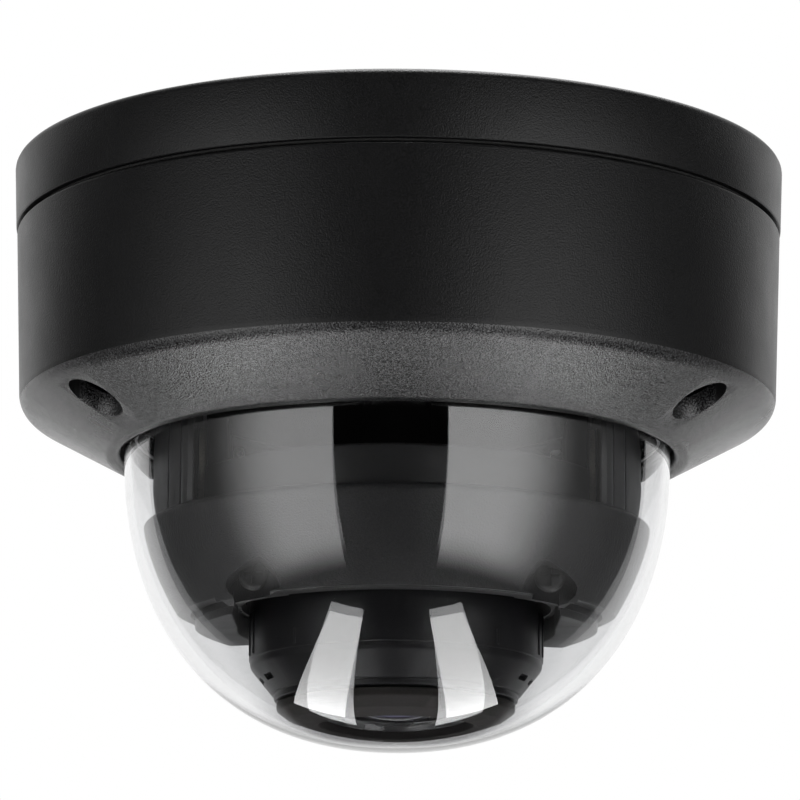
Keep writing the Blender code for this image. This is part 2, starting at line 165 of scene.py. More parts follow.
def clear(name, colour, rough, ior):
    """Clear plastic or glass, faintly uneven, that lets lamps light what is behind it."""
    made = surface(name, colour, rough, grain=3.0, depth=0.0004, speck=0.0, spread=rough, wear_and_highlight=0.0)
    tree = made.node_tree
    shader = tree.nodes["Principled BSDF"]
    shader.inputs["Transmission Weight"].default_value = 1.0
    shader.inputs["IOR"].default_value = ior
    path = tree.nodes.new("ShaderNodeLightPath")
    through = tree.nodes.new("ShaderNodeBsdfTransparent")
    through.inputs["Color"].default_value = (0.9, 0.9, 0.9, 1)
    mix = tree.nodes.new("ShaderNodeMixShader")
    tree.links.new(path.outputs["Is Shadow Ray"], mix.inputs["Fac"])
    tree.links.new(shader.outputs["BSDF"], mix.inputs[1])
    tree.links.new(through.outputs["BSDF"], mix.inputs[2])
    tree.links.new(mix.outputs["Shader"], tree.nodes["Material Output"].inputs["Surface"])
    return made


COAT_GREY = (0.0042, 0.0042, 0.0044)
# Lighter than the coat's grey: painted light that the cone catches from below.
CONE_PAINTED_LIGHT_GREY = (0.008, 0.008, 0.0083)
PLASTIC_GREY = (0.006, 0.006, 0.0063)
BLACK = (0.006, 0.006, 0.006)

FINISHES = {
    "coat": surface("powder_coat", COAT_GREY, 0.36, grain=0.25, depth=0.05, speck=0.3, spread=0.06,
                    wear_and_highlight=0.06, specular=0.22),
    # A copy of the powder coat for the cone with deeper bumps and more gloss; its lighter grey and paler
    # flecks are painted light and painted glints.
    "cone": surface("powder_coat_cone_painted_light", CONE_PAINTED_LIGHT_GREY, 0.25, grain=0.27, depth=0.1, speck=0.9, spread=0.06,
                    detail=1.0),
    "chassis": surface("chassis_plastic", PLASTIC_GREY, 0.48, grain=0.16, depth=0.01, specular=0.4),
    "bowl": surface("bowl_plastic", PLASTIC_GREY, 0.4, grain=0.25, depth=0.09, speck=0.4, specular=0.36,
                    detail=1.0),
    "turret": surface("turret_plastic", (0.006, 0.006, 0.0065), 0.36, grain=0.14, depth=0.006,
                      specular=0.22),
    "rubber": surface("seal_rubber", BLACK, 0.75, grain=0.12, depth=0.006, wear_and_highlight=0.1),
    "shield": surface("shield_rubber", (0.02, 0.018, 0.017), 0.6, grain=0.1, depth=0.006, speck=0.2,
                      specular=0.08),
    "barrel": surface("barrel_black", (0.008, 0.008, 0.009), 0.3, grain=0.1, depth=0.003),
    "steel": surface("zinc_steel", (0.52, 0.52, 0.54), 0.3, depth=0.004, speck=0.06, metallic=1.0),
    "black_steel": surface("black_steel", (0.03, 0.03, 0.032), 0.4, grain=0.2, depth=0.004, speck=0.1,
                           worn_and_highlit_colour=(0.3, 0.3, 0.3), metallic=1.0),
    "bowl_screw": surface("blackened_screw", BLACK, 0.5, grain=0.15, depth=0.004, wear_and_highlight=0.1,
                          specular=0.3),
    "board": surface("circuit_board", (0.012, 0.075, 0.035), 0.35, grain=1.1, depth=0.01, speck=0.35,
                     coat=0.4),
    "ivory": surface("ivory_plastic", (0.68, 0.64, 0.54), 0.45, grain=0.25, depth=0.006, speck=0.06),
    # Light grey for the arcs inside the skirt: a painted highlight.
    "painted_highlight": surface("painted_highlight_grey", (0.3, 0.3, 0.31), 0.4, grain=0.2, depth=0.003, speck=0.1),
    "chip": surface("chip_resin", (0.02, 0.02, 0.022), 0.5, grain=0.12, depth=0.004, speck=0.2),
    "dome": clear("clear_polycarbonate", (0.87, 0.873, 0.88), 0.0, 1.5),
    "glass": clear("coated_glass", (0.35, 0.33, 0.5), 0.0, 1.25),
}


# Shapes
def shade(obj, degrees=32):
    """Smooth shading that breaks at edges sharper than an angle."""
    obj.data.shade_smooth()
    obj.data.set_sharp_from_angle(angle=math.radians(degrees))


def new_piece(name, build, axis="Z", at=(0, 0, 0)):
    """A mesh built in millimetres, turned to lie along an axis and moved to its place."""
    mesh = bpy.data.meshes.new(name)
    bm = bmesh.new()
    build(bm)
    bmesh.ops.recalc_face_normals(bm, faces=bm.faces)
    direction = {"X": (1, 0, 0), "-X": (-1, 0, 0), "Y": (0, 1, 0), "Z": (0, 0, 1)}[axis]
    turn = Vector((0, 0, 1)).rotation_difference(Vector(direction)).to_matrix().to_4x4()
    bm.transform(Matrix.Diagonal((MM, MM, MM, 1)) @ Matrix.Translation(at) @ turn)
    bm.to_mesh(mesh)
    bm.free()
    obj = bpy.data.objects.new(name, mesh)
    scene.collection.objects.link(obj)
    shade(obj)
    return obj


def rounded(points, closed=True, steps=5):
    """Fillets an outline: each point is (radius, height) or (radius, height, fillet)."""
    out = []
    count = len(points)
    for i, point in enumerate(points):
        here = Vector(point[:2])
        size = point[2] if len(point) > 2 else 0
        inner = closed or 0 < i < count - 1
        if not size or not inner:
            out.append(tuple(here))
            continue
        before = Vector(points[i - 1][:2]) - here
        after = Vector(points[(i + 1) % count][:2]) - here
        half = before.angle(after) / 2
        reach = min(size / math.tan(half), before.length * 0.49, after.length * 0.49)
        size = reach * math.tan(half)
        middle = here + (before.normalized() + after.normalized()).normalized() * (size / math.sin(half))
        start = here + before.normalized() * reach - middle
        end = here + after.normalized() * reach - middle
        sweep = start.angle_signed(end)
        for k in range(steps + 1):
            angle = -sweep * k / steps
            c, s = math.cos(angle), math.sin(angle)
            out.append((middle.x + start.x * c - start.y * s, middle.y + start.x * s + start.y * c))
    return out


def lathe(name, profile, closed=True, segments=SEGMENTS, axis="Z", at=(0, 0, 0)):
    """A turned piece from (radius, height) points."""

    def build(bm):
        rings = []
        for radius, height in profile:
            if radius < 1e-6:
                rings.append([bm.verts.new((0, 0, height))] * segments)
                continue
            ring = []
            for k in range(segments):
                angle = 2 * math.pi * k / segments
                ring.append(bm.verts.new((radius * math.cos(angle), radius * math.sin(angle), height)))
            rings.append(ring)
        pairs = list(zip(rings, rings[1:]))
        if closed:
            pairs.append((rings[-1], rings[0]))
        for upper, lower in pairs:
            for k in range(segments):
                corners = [upper[k], upper[k - 1], lower[k - 1], lower[k]]
                different = [v for j, v in enumerate(corners) if v not in corners[:j]]
                if len(different) > 2:
                    bm.faces.new(different)

    return new_piece(name, build, axis, at)


def rod(name, radius, start, end, at=(0, 0), axis="Z", segments=FINE):
    """A plain round bar between two places along an axis."""
    place = {"Z": (at[0], at[1], 0), "X": (0, at[0], at[1]), "Y": (at[0], 0, at[1])}[axis]
    high, low = max(start, end), min(start, end)
    return lathe(name, [(0, high), (radius, high), (radius, low), (0, low)], False, segments, axis, place)


def block(name, low, high, turn=0.0, bevel=0.0):
    """A box between two corners, with rounded edges, turned about Z."""
    size = [b - a for a, b in zip(low, high)]
    middle = Vector([(a + b) / 2 for a, b in zip(low, high)])

    def build(bm):
        bmesh.ops.create_cube(bm, size=1, matrix=Matrix.Diagonal((*size, 1)))
        if bevel:
            bmesh.ops.bevel(bm, geom=list(bm.edges), offset=bevel, segments=3, profile=0.5, affect="EDGES")
        bm.transform(Matrix.Rotation(turn, 4, "Z") @ Matrix.Translation(middle))

    return new_piece(name, build)


def prism(name, outline, start, end):
    """A closed (x, z) outline drawn out along Y."""

    def build(bm):
        near = [bm.verts.new((x, start, z)) for x, z in outline]
        far = [bm.verts.new((x, end, z)) for x, z in outline]
        bm.faces.new(near)
        bm.faces.new(list(reversed(far)))
        for k in range(len(outline)):
            bm.faces.new((near[k - 1], near[k], far[k], far[k - 1]))

    return new_piece(name, build)


def combine(target, operation, *others):
    """Cuts or joins shapes into a piece and keeps the result as its mesh."""
    for other in others:
        boolean = target.modifiers.new("Shape", "BOOLEAN")
        boolean.operation = operation
        boolean.solver = "EXACT"
        boolean.object = other
    shaped = target.evaluated_get(bpy.context.evaluated_depsgraph_get())
    result = bpy.data.meshes.new_from_object(shaped)
    target.modifiers.clear()
    target.data = result
    for other in set(others):
        bpy.data.objects.remove(other)
    shade(target)


def cut(target, *others):
    combine(target, "DIFFERENCE", *others)


def join(target, *others):
    combine(target, "UNION", *others)


def soften(obj, width, wanted):
    """Rounds the sharp edges whose ends both pass a test of their place in millimetres."""
    bm = bmesh.new()
    bm.from_mesh(obj.data)
    bmesh.ops.remove_doubles(bm, verts=bm.verts, dist=0.00001)
    sharp = []
    for edge in bm.edges:
        ends = [v.co / MM for v in edge.verts]
        if len(edge.link_faces) == 2 and edge.calc_face_angle() > 0.5 and all(wanted(p) for p in ends):
            sharp.append(edge)
    bmesh.ops.bevel(bm, geom=sharp, offset=width * MM, segments=2, profile=0.5, affect="EDGES",
                    clamp_overlap=True)
    bm.to_mesh(obj.data)
    bm.free()
    shade(obj)


def arc(radius, start, end, count, middle=(0, 0)):
    """Points along part of a circle, from one direction in degrees to another."""
    angles = [math.radians(start + (end - start) * i / count) for i in range(count + 1)]
    return [(middle[0] + radius * math.cos(a), middle[1] + radius * math.sin(a)) for a in angles]


def around(radius, degrees):
    """A place on a circle, by its direction in degrees."""
    angle = math.radians(degrees)
    return radius * math.cos(angle), radius * math.sin(angle)


def smooth_loop(points, steps=8):
    """A closed smooth curve through a few points."""
    out = []
    count = len(points)
    for i in range(count):
        a, b, c, d = (Vector(points[(i + k - 1) % count]) for k in range(4))
        for k in range(steps):
            t = k / steps
            p = 2 * b + (c - a) * t + (2 * a - 5 * b + 4 * c - d) * t ** 2 + (3 * b - a - 3 * c + d) * t ** 3
            out.append(tuple(p / 2))
    return out


def dress(piece, body, finish, *replaced):
    """Gives a piece its material, its body and the frame nodes that it stands for."""
    piece.data.materials.clear()
    piece.data.materials.append(FINISHES[finish])
    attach(piece, body)
    if replaced:
        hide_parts(*replaced)
    return piece


def cone_z(radius):
    """Height of the cover's conical underside at a radius."""
    return CONE_Z - (CONE_R - radius) * CONE_SLOPE


# Base: plate and rim against the ceiling
def make_base():
    seam = COVER_TOP + 0.6
    plate = -3.2
    ceiling_circle = 51.0
    side_exit = math.radians(135)
    base = lathe("base_ring", rounded([
        (0, 0), (HOUSING_R, 0, 1.1), (HOUSING_R - 0.35, seam, 0.25),
        (59.3, seam), (59.3, seam + 0.9), (57.8, seam + 0.9), (57.8, seam),
        (57.2, seam), (57.2, -14.0, 0.3), (55.4, -14.0, 0.3), (55.4, plate, 0.8), (0, plate),
    ], closed=False), closed=False, segments=HOUSING_SEGMENTS)
    posts, holes = [], []
    for side, place in SCREW_PLACES.items():
        posts.append(rod("post", 3.6, -27.6, -2.0, place))
        holes.append(rod("hole", 2.25, -28.6, -15.0, place))
    for side in ("left", "front", "right"):
        place = centre(f"board_screw_{side}")
        posts.append(rod("post", 2.8, -6.7, -2.0, place))
        holes.append(rod("hole", 1.4, -7, -4.0, place))
    for degrees in (285, 45, 165):
        place = around(ceiling_circle, degrees)
        holes.append(rod("hole", 2.2, -5, 1, place))
        holes.append(lathe("countersink", [(0, -2.2), (2.2, -2.2), (3.6, -3.6), (0, -3.6)], False, FINE,
                           at=(*place, 0)))
    hole = centre("cable_grommet")
    holes.append(rod("hole", 8.5, -5, 1, hole, segments=96))
    holes.append(block("hole", (54.0, -6.0, -8.6), (62.0, 6.0, -3.8), side_exit, bevel=0.5))
    join(base, *posts)
    cut(base, *holes)
    dress(base, "base", "coat", "mounting_base")
    plug = block("side_plug", (55.8, -5.7, -8.3), (60.0, 5.7, -4.1), side_exit, bevel=0.5)
    dress(plug, "base", "chassis", "side_exit_plug")
    grommet = lathe("grommet", rounded([
        (8.2, -0.4, 0.4), (8.2, -3.5, 0.2), (9.8, -3.5, 0.3), (9.8, -5.2, 0.6), (3.4, -5.2, 0.7),
        (3.4, -0.4, 0.5),
    ]), at=(*hole, 0), segments=96)
    dress(grommet, "base", "rubber", "cable_grommet")
    gasket = lathe("seam_gasket", rounded([
        (59.1, seam + 0.6, 0.2), (59.1, seam - 0.3, 0.3), (58.0, seam - 0.3, 0.3), (58.0, seam + 0.6, 0.2),
    ], steps=3), segments=HOUSING_SEGMENTS)
    dress(gasket, "base", "rubber", "cover_gasket")
    bearing = lathe("pan_bearing", rounded([
        (27.0, -3.5, 0.4), (27.0, -6.2, 0.4), (20.0, -6.2, 0.4), (20.0, -3.5, 0.4),
    ]))
    dress(bearing, "base", "ivory", "pan_bearing_ring")
    retainer = lathe("pan_retainer", rounded([
        (32.6, -3.5, 0.3), (32.6, -10.6, 0.5), (27.5, -10.6, 0.4), (27.5, -9.8, 0.2), (30.0, -9.8),
        (30.0, -3.5),
    ]))
    ways = []
    for side in ("left", "right"):
        ways.append(rod("way", 0.8, -12, -2, (centre(f"pan_ring_screw_{side}")[0], 0)))
    cut(retainer, *ways)
    dress(retainer, "base", "chassis", "pan_retaining_ring")


# Cover: tapered wall, cone underneath, counterbores for the screws
def on_counterbore(point):
    """Whether a point lies on the mouth of a screw's counterbore."""
    places = SCREW_PLACES.values()
    return point.z < -37 and any(abs(math.dist(point.xy, c) - COUNTERBORE_R) < 0.03 for c in places)


def make_cover():
    low_r = 59.2
    edge_z = -39.15
    lip_r = 45.6
    seat_r = 46.2
    seat = -44.4
    wall = 2.6
    rise = wall / math.cos(math.atan(CONE_SLOPE))
    shell = lathe("cover_housing", rounded([
        (COVER_R - 0.05, COVER_TOP, 0.5), (low_r + 0.1, edge_z, 3.2),
        (lip_r, cone_z(lip_r), 2.0), (OPENING_R, cone_z(lip_r) - 0.25, 0.9),
        (OPENING_R, seat), (seat_r, seat), (seat_r, cone_z(seat_r) + rise),
        (low_r - wall, cone_z(low_r - wall) + rise, 1.5), (COVER_R - wall, COVER_TOP, 0.3),
    ], steps=8), segments=HOUSING_SEGMENTS)
    posts, holes = [], []
    for place in SCREW_PLACES.values():
        posts.append(rod("post", 5.6, -38.8, -28.0, place))
        holes.append(rod("counterbore", COUNTERBORE_R, -50, -33.3, place, segments=64))
        holes.append(rod("way", 2.3, -36, -20, place))
    for place in CLAMP_PLACES.values():
        posts.append(rod("boss", 2.3, -42.4, -38.7, place))
        holes.append(rod("hole", 1.4, -41.4, -34, place))
    join(shell, *posts)
    cut(shell, *holes)
    soften(shell, 0.3, on_counterbore)
    dress(shell, "cover", "coat", "cover_shell")
    # Faces below the side's edge take the cone's copy: painted light on the underside.
    shell.data.materials.append(FINISHES["cone"])
    for face in shell.data.polygons:
        face.material_index = int(face.center.z < -38.0 * MM)


# Dome: the clear shell, its seal and the ring that clamps it
def dome_curve(radius, height, exponent, count=40):
    """A slightly squarish quarter outline from the skirt down to the dome's lowest point."""
    power = 2 / exponent
    points = []
    for i in range(count):
        angle = math.pi / 2 * i / count
        points.append((radius * math.cos(angle) ** power, DOME_SKIRT - height * math.sin(angle) ** power))
    return points + [(0, DOME_SKIRT - height)]


def highlight_bead(name, radius, height, start, end, thick=0.2):
    """A thin round bead along part of a circle, for the painted highlight arcs that show inside the skirt."""
    path = arc(radius, start, end, 40)

    def build(bm):
        rings = []
        for x, y in path:
            ring = []
            for k in range(8):
                angle = math.pi * k / 4
                scale = 1 + thick * math.cos(angle) / radius
                ring.append(bm.verts.new((x * scale, y * scale, height + thick * math.sin(angle))))
            rings.append(ring)
        bm.faces.new(rings[0])
        bm.faces.new(list(reversed(rings[-1])))
        for upper, lower in zip(rings, rings[1:]):
            for k in range(8):
                bm.faces.new((upper[k - 1], upper[k], lower[k], lower[k - 1]))

    return new_piece(name, build)


def make_dome():
    height = DOME_SKIRT - DOME_LOW
    inner_r = DOME_R - DOME_WALL
    flange_r = 45.9
    inner = dome_curve(inner_r, height - DOME_WALL, INNER_POWER)
    bead = arc(0.35, 260, 100, 8, (inner_r + 0.05, DOME_SKIRT - 0.5))
    flange = rounded([
        (inner_r, -43.0), (inner_r, -41.4, 0.4), (flange_r, -41.4, 0.3), (flange_r, -43.1, 0.3),
        (DOME_R, -43.1, 0.3), (DOME_R, -44.6),
    ], closed=False)
    outer = dome_curve(DOME_R, height, DOME_POWER)
    dome = lathe("dome_clear", [*reversed(inner[4:]), *bead, *flange, *outer], closed=False, segments=192)
    dress(dome, "cover", "dome", "dome_bubble")
    seal = lathe("dome_seal", rounded([
        (flange_r, -43.4, 0.3), (flange_r, -44.1, 0.3), (43.75, -44.1, 0.3), (43.75, -43.4, 0.3),
    ], steps=3))
    dress(seal, "cover", "rubber", "dome_gasket")
    top = span("dome_clamp_ring")[1][2]
    clamp = lathe("clamp_ring", rounded([
        (47.0, top, 0.5), (47.0, -41.1, 0.3), (42.9, -41.1, 0.3), (42.9, top, 0.6),
    ]), segments=192)
    ears = [rod("ear", 3.4, top - 1.5, top - 0.05, place) for place in CLAMP_PLACES.values()]
    join(clamp, *ears)
    cut(clamp, *[rod("hole", 1.5, -40, -34, place) for place in CLAMP_PLACES.values()])
    dress(clamp, "cover", "chassis", "dome_clamp_ring")
    # Light grey arcs at the sides only: painted highlights where the skirt mirrors the bright backdrop.
    for side, start, end in (("left", 148, 206), ("right", -26, 32)):
        dress(highlight_bead(f"clamp_highlight_arc_{side}", 40.6, TILT_Z + 5.1, start, end), "cover", "painted_highlight")
    for side, place in CLAMP_PLACES.items():
        screw = lathe(f"clamp_fastener_{side}", rounded([
            (0, top + 2.0), (2.4, top + 1.8, 0.8), (2.5, top + 0.3, 0.15), (1.1, top + 0.3),
            (1.1, -41.0, 0.4), (0, -41.0),
        ], closed=False), False, FINE, at=(*place, 0))
        cut(screw, block("slot", (-1.5, -0.3, top + 1.0), (1.5, 0.3, top + 3)))
        dress(screw, "cover", "steel", f"clamp_screw_{side}")


def star(radius, depth, lobes=6, count=72):
    """A six-lobed socket outline."""
    points = []
    for k in range(count):
        angle = 2 * math.pi * k / count
        r = radius - depth * (0.5 - 0.5 * math.cos(lobes * angle))
        points.append((r * math.cos(angle), r * math.sin(angle)))
    return points


def make_cover_screws():
    for side, place in SCREW_PLACES.items():
        low, high = span(f"cover_screw_{side}")
        screw = lathe(f"captive_screw_{side}", rounded([
            (0, high[2]), (1.5, high[2], 0.3), (1.9, high[2] - 0.7, 0.1), (1.9, -33.6), (3.6, -33.6, 0.2),
            (3.6, low[2], 0.9), (0, low[2]),
        ], closed=False), False, FINE, at=(*place, 0))

        def socket(bm, place=place, low=low):
            lower = [bm.verts.new((place[0] + x, place[1] + y, low[2] - 1)) for x, y in star(1.75, 0.5)]
            upper = [bm.verts.new((v.co.x, v.co.y, low[2] + 1.9)) for v in lower]
            bm.faces.new(list(reversed(lower)))
            bm.faces.new(upper)
            for k in range(len(lower)):
                bm.faces.new((lower[k - 1], lower[k], upper[k], upper[k - 1]))

        cut(screw, new_piece("socket", socket))
        join(screw, rod("tamper_pin", 0.5, low[2] + 0.3, low[2] + 2.2, place, segments=24))
        dress(screw, f"cover_screw_{side}", "black_steel", f"cover_screw_{side}")


# Pan chassis: disc, yoke and the two rounded arms
def make_chassis():
    chassis = lathe("pan_fork", rounded([
        (0, -6.5), (29.6, -6.5, 0.4), (29.6, -9.5, 0.4), (14.0, -9.5, 1.0), (14.0, -14.6), (0, -14.6),
    ], closed=False), closed=False)
    yoke = lathe("yoke", rounded([
        (ARM_R - 0.4, 9.5, 0.8), (ARM_R - 0.4, -9.5, 0.8), (34.5, -9.5, 0.5), (34.5, 9.5, 0.5),
    ]), axis="Y", at=(0, 0, TILT_Z))
    combine(yoke, "INTERSECT", block("upper_half", (-45, -20, TILT_Z + 14), (45, 20, 0)))
    rim = math.degrees(math.asin(ARM_X / ARM_R))
    pole = math.degrees(math.acos(3.4 / ARM_R))
    arms = []
    for axis in ("-X", "X"):
        arms.append(lathe("arm", [
            *arc(ARM_R, pole, rim + 1.5, 20), *arc(ARM_R - 0.5, rim + 0.5, rim, 1), (18.2, ARM_X),
            *arc(35.9, 59.6, 77.5, 6), (7.6, ARM_X), (3.4, ARM_X),
        ], axis=axis, at=(0, 0, TILT_Z), segments=96))
    join(chassis, yoke, *arms)
    grooves = [rod("wire_way", 7.5, -20, 0, segments=96)]
    for sign in (-1, 1):
        for distance in (32.6, 34.6):
            inside, outside = sorted((sign * distance, sign * (distance + 0.15)))
            for front in (-1, 1):
                near, far = sorted((front * 11.5, front * 23.0))
                grooves.append(block("groove", (inside, near, TILT_Z - 8), (outside, far, TILT_Z + 12)))
    cut(chassis, *grooves)
    dress(chassis, "pan", "chassis", "pan_chassis")


# Tilt body: frame, pivots and sleeve
def make_tilt():
    face = span("tilt_frame")[1][0]
    body = lathe("tilt_drum", rounded([
        (32.5, TILT_Z - 0.6, 0.5), (32.5, -59.0, 0.3), (24.4, -59.0), (24.4, -57.0), (28.0, -57.0),
        (28.0, TILT_Z - 0.6, 0.3),
    ]))
    combine(body, "INTERSECT", block("between", (-face, -40, -70), (face, 40, -30)))
    ears = []
    for sign in (-1, 1):
        inside, outside = sorted((sign * 26.2, sign * (face - 0.02)))
        ears.append(block("ear", (inside, -8.0, -58.0), (outside, 8.0, TILT_Z + 7.5)))
    join(body, *ears)
    cut(body, rod("pin_way", 3.35, -40, 40, (0, TILT_Z), axis="X"))
    dress(body, "tilt", "chassis", "tilt_frame")
    for side, axis in (("left", "-X"), ("right", "X")):
        pin = lathe(f"pin_{side}", rounded([
            (0, 37.0), (1.8, 37.0, 0.3), (3.05, 36.4, 0.3), (3.05, 25.6), (4.8, 25.6, 0.3),
            (4.8, 24.0, 0.4), (0, 24.0),
        ], closed=False), False, FINE, axis, (0, 0, TILT_Z))
        dress(pin, "tilt", "steel", f"pivot_pin_{side}")
        washer = lathe(f"washer_{side}", rounded([
            (7.4, 30.7, 0.2), (7.4, 29.7, 0.2), (3.4, 29.7, 0.2), (3.4, 30.7, 0.2),
        ]), True, FINE, axis, (0, 0, TILT_Z))
        dress(washer, "tilt", "ivory", f"friction_washer_{side}")
    sleeve = lathe("sleeve", rounded([
        (28.3, -59.3, 0.3), (28.3, -70.8, 0.3), (24.0, -70.8, 0.2), (24.0, -63.9), (25.4, -63.9),
        (25.4, -59.3, 0.2),
    ]))
    dress(sleeve, "tilt", "barrel", "turret_sleeve")


# Bowl: the pockets' outline is (x, z) from their middle; steps and cheeks run between directions in degrees
POCKET = [
    (-4.0, -0.25), (-2.9, -2.2), (-0.3, -2.7), (3.4, -2.0), (4.05, -1.5), (3.2, 0.4), (1.75, 2.15),
    (0.6, 2.6), (-2.2, 1.4),
]
POCKET_PLACES = {-1: (-21.3, -70.1), 1: (22.8, -70.1)}
POCKET_DEPTH_R = 29.8
STEP_Z = BOWL_LOW + 1.3
CHEEK_LOW = BOWL_LOW - 0.9
CHEEKS = {-1: (150, 222), 1: (-42, 30)}
STEPS = {-1: (150, 217), 1: (-37, 30)}


def near_pocket(point, sign):
    """Whether a point lies on the mouth of a screw pocket."""
    if abs((point - Vector((0, 0, TILT_Z))).length - BOWL_R) > 0.08:
        return False
    middle = POCKET_PLACES[sign]
    return math.dist((point.x, point.z), middle) < 4.8


def pocket_outline(sign, grow=1.0):
    """The smooth mouth of the left or right pocket, mirrored to its side."""
    points = [(-sign * x * grow, z * grow) for x, z in POCKET]
    middle = POCKET_PLACES[sign]
    return [(middle[0] + x, middle[1] + z) for x, z in smooth_loop(points)]


def beyond(name, direction, distance):
    """Everything past a flat face at a distance from the tilt centre."""
    direction = Vector(direction).normalized()

    def build(bm):
        bmesh.ops.create_cube(bm, size=1, matrix=Matrix.Diagonal((60, 60, 30, 1)))
        turn = Vector((0, 0, 1)).rotation_difference(direction).to_matrix().to_4x4()
        bm.transform(Matrix.Translation(Vector((0, 0, TILT_Z)) + direction * (distance + 15)) @ turn)

    return new_piece(name, build)


def sector(name, inner, outer, low, high, start, end):
    """Part of a ring between two directions."""
    outline = arc(inner, start, end, 24) + arc(outer, end, start, 24)

    def build(bm):
        bottom = [bm.verts.new((x, y, low)) for x, y in outline]
        top = [bm.verts.new((x, y, high)) for x, y in outline]
        bm.faces.new(bottom)
        bm.faces.new(list(reversed(top)))
        for k in range(len(bottom)):
            bm.faces.new((bottom[k - 1], bottom[k], top[k], top[k - 1]))

    return new_piece(name, build)


def make_bowl():
    rim = BOWL_HIGH - 0.5
    boss_r = 38.6
    way_r = 24.6
    foot = rounded([
        (32.8, BOWL_LOW + 1.2), (31.4, BOWL_LOW + 0.3, 1.0), (29.4, BOWL_LOW + 0.3, 0.3), (29.4, -70.2),
        (31.0, -69.5),
    ], closed=False)
    bowl = lathe("bowl_liner", [
        *rounded([(36.4, rim), (39.4, rim, 1.5), (39.0, rim - 2.4)], closed=False),
        *arc(BOWL_R, -15.2, -34.0, 24, SPHERE), *foot,
        *arc(37.6, -30.0, -17.5, 12, SPHERE), (31.0, -61.3), (31.0, -59.4), (36.0, -59.4),
    ], segments=HOUSING_SEGMENTS)
    clearances = []
    for axis in ("-X", "X"):
        outline = [(0, 38.7), *arc(38.7, 85, 52.3, 12), (0, 30.6)]
        clearances.append(lathe("arm_clearance", outline, False, 96, axis, (0, 0, TILT_Z)))
    cut(bowl, *clearances)
    cutters = [block("front_opening", (-24.2, -45, -90), (24.2, -2, BOWL_LOW + 1.0))]
    for sign in (-1, 1):
        boss = prism("boss", pocket_outline(sign, 1.3), -45, -12)
        outline = [(0, TILT_Z + boss_r), *arc(boss_r, 80, -80, 30, SPHERE), (0, TILT_Z - boss_r)]
        combine(boss, "INTERSECT", lathe("inside", outline, False))
        sleeve_way = rod("around_sleeve", 28.7, -90, -55, segments=96)
        cut(boss, sleeve_way, block("under", (-50, -50, -90), (50, 50, BOWL_LOW + 0.5)))
        join(bowl, boss)
        cutter = prism("pocket", pocket_outline(sign), -45, -12)
        cut(cutter, rod("pocket_floor", POCKET_DEPTH_R, -90, -55, segments=96))
        cutters.append(cutter)
        cutters.append(sector("step", 31.2, 45.0, -80, STEP_Z, *STEPS[sign]))
        cutters.append(beyond("facet", (sign * 0.795, -0.1, -0.6), 38.7))
    cut(bowl, *cutters)
    soften(bowl, 0.3, lambda p: p.y < 0 and any(near_pocket(p, sign) for sign in (-1, 1)))
    soften(bowl, 0.25, lambda p: abs(p.z - STEP_Z) < 0.02 and p.xy.length > 33)
    cheeks = []
    for sign, (start, end) in CHEEKS.items():
        cheek = sector("cheek", way_r, 31.1, CHEEK_LOW, STEP_Z + 1.0, start, end)
        channel = block("channel", (-24.4, -40, -90), (24.4, -2, -50))
        cut(cheek, channel, rod("turret_way", way_r, -90, -50, segments=96))
        soften(cheek, 0.35, lambda p: abs(p.z - CHEEK_LOW) < 0.02)
        cheeks.append(cheek)
    join(cheeks[0], cheeks[1])
    cheeks[0].name = "bowl_cheeks"
    dress(cheeks[0], "tilt", "bowl")
    dress(bowl, "tilt", "bowl", "tilt_bowl")
    for side, sign in (("left", -1), ("right", 1)):
        x, z = POCKET_PLACES[sign][0], -69.0
        screw = lathe(f"bowl_fastener_{side}", rounded([
            (0, -14.6), (1.1, -14.6, 0.3), (1.1, -21.7), (2.3, -21.7, 0.2), (2.1, -23.3, 0.7), (0, -23.4),
        ], closed=False), False, FINE, "Y", (x, 0, z))
        level = block("slot", (x - 1.4, -24, z - 0.3), (x + 1.4, -22.4, z + 0.3))
        upright = block("slot", (x - 0.3, -24, z - 1.4), (x + 0.3, -22.4, z + 1.4))
        cut(screw, level, upright)
        dress(screw, "tilt", "bowl_screw", f"bowl_screw_{side}")


